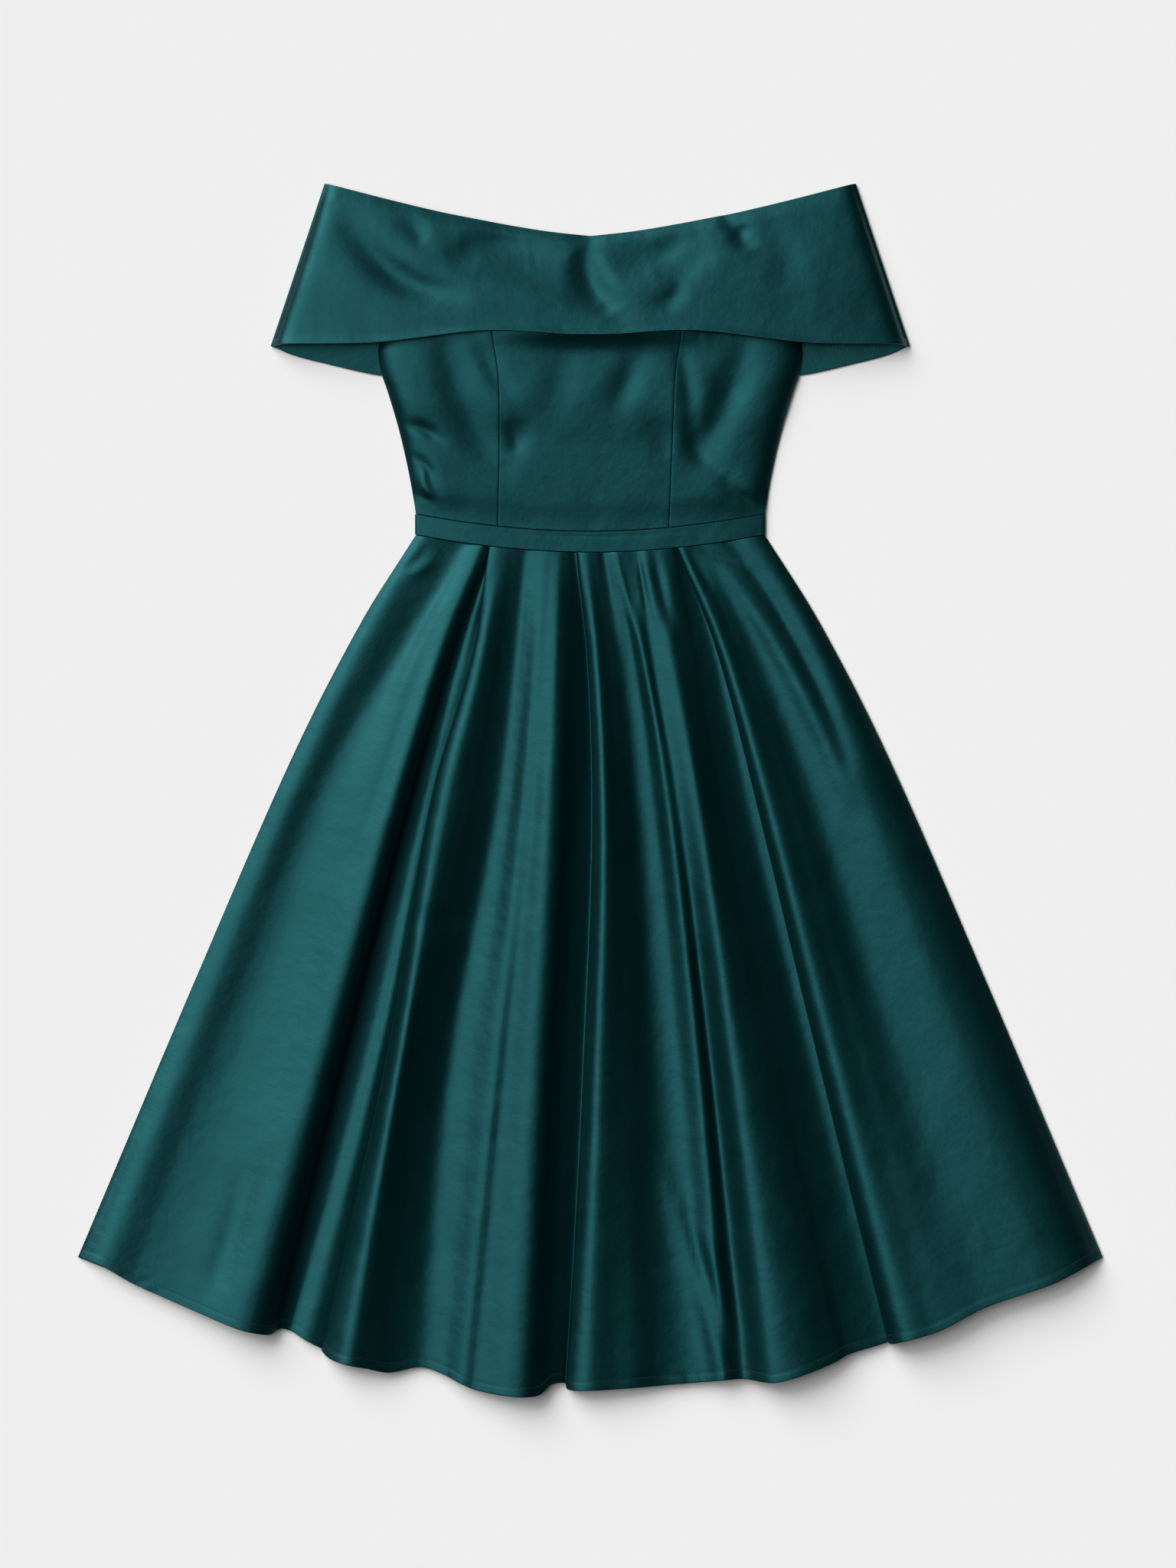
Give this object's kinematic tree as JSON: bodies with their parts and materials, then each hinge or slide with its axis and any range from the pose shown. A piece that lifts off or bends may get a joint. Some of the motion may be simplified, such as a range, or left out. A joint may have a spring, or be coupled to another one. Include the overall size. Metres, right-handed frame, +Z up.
{
  "type": "off-shoulder dress",
  "caption": "Knee-length off-shoulder satin dress, laid flat: wide fold-over collar, seamed bodice, narrow waistband and full folded skirt.",
  "frame": {"origin": "middle of the underside, on the surface the dress lies on", "axes": "+Z up from the surface through the dress's front, +Y towards the neckline, +X towards the wearer's left side"},
  "size_m": [0.99, 1.171, 0.0273],
  "materials": {
    "satin": "dark teal heavy satin, broad soft sheen"
  },
  "bodies": {
    "root": {"collar": "satin", "bodice_front_centre": "satin", "bodice_front_right": "satin", "bodice_front_left": "satin", "bodice_back_right": "satin", "bodice_back_left": "satin", "waistband": "satin", "skirt_front_centre": "satin", "skirt_front_right": "satin", "skirt_front_left": "satin", "skirt_back_right": "satin", "skirt_back_left": "satin"}
  },
  "joints": []
}
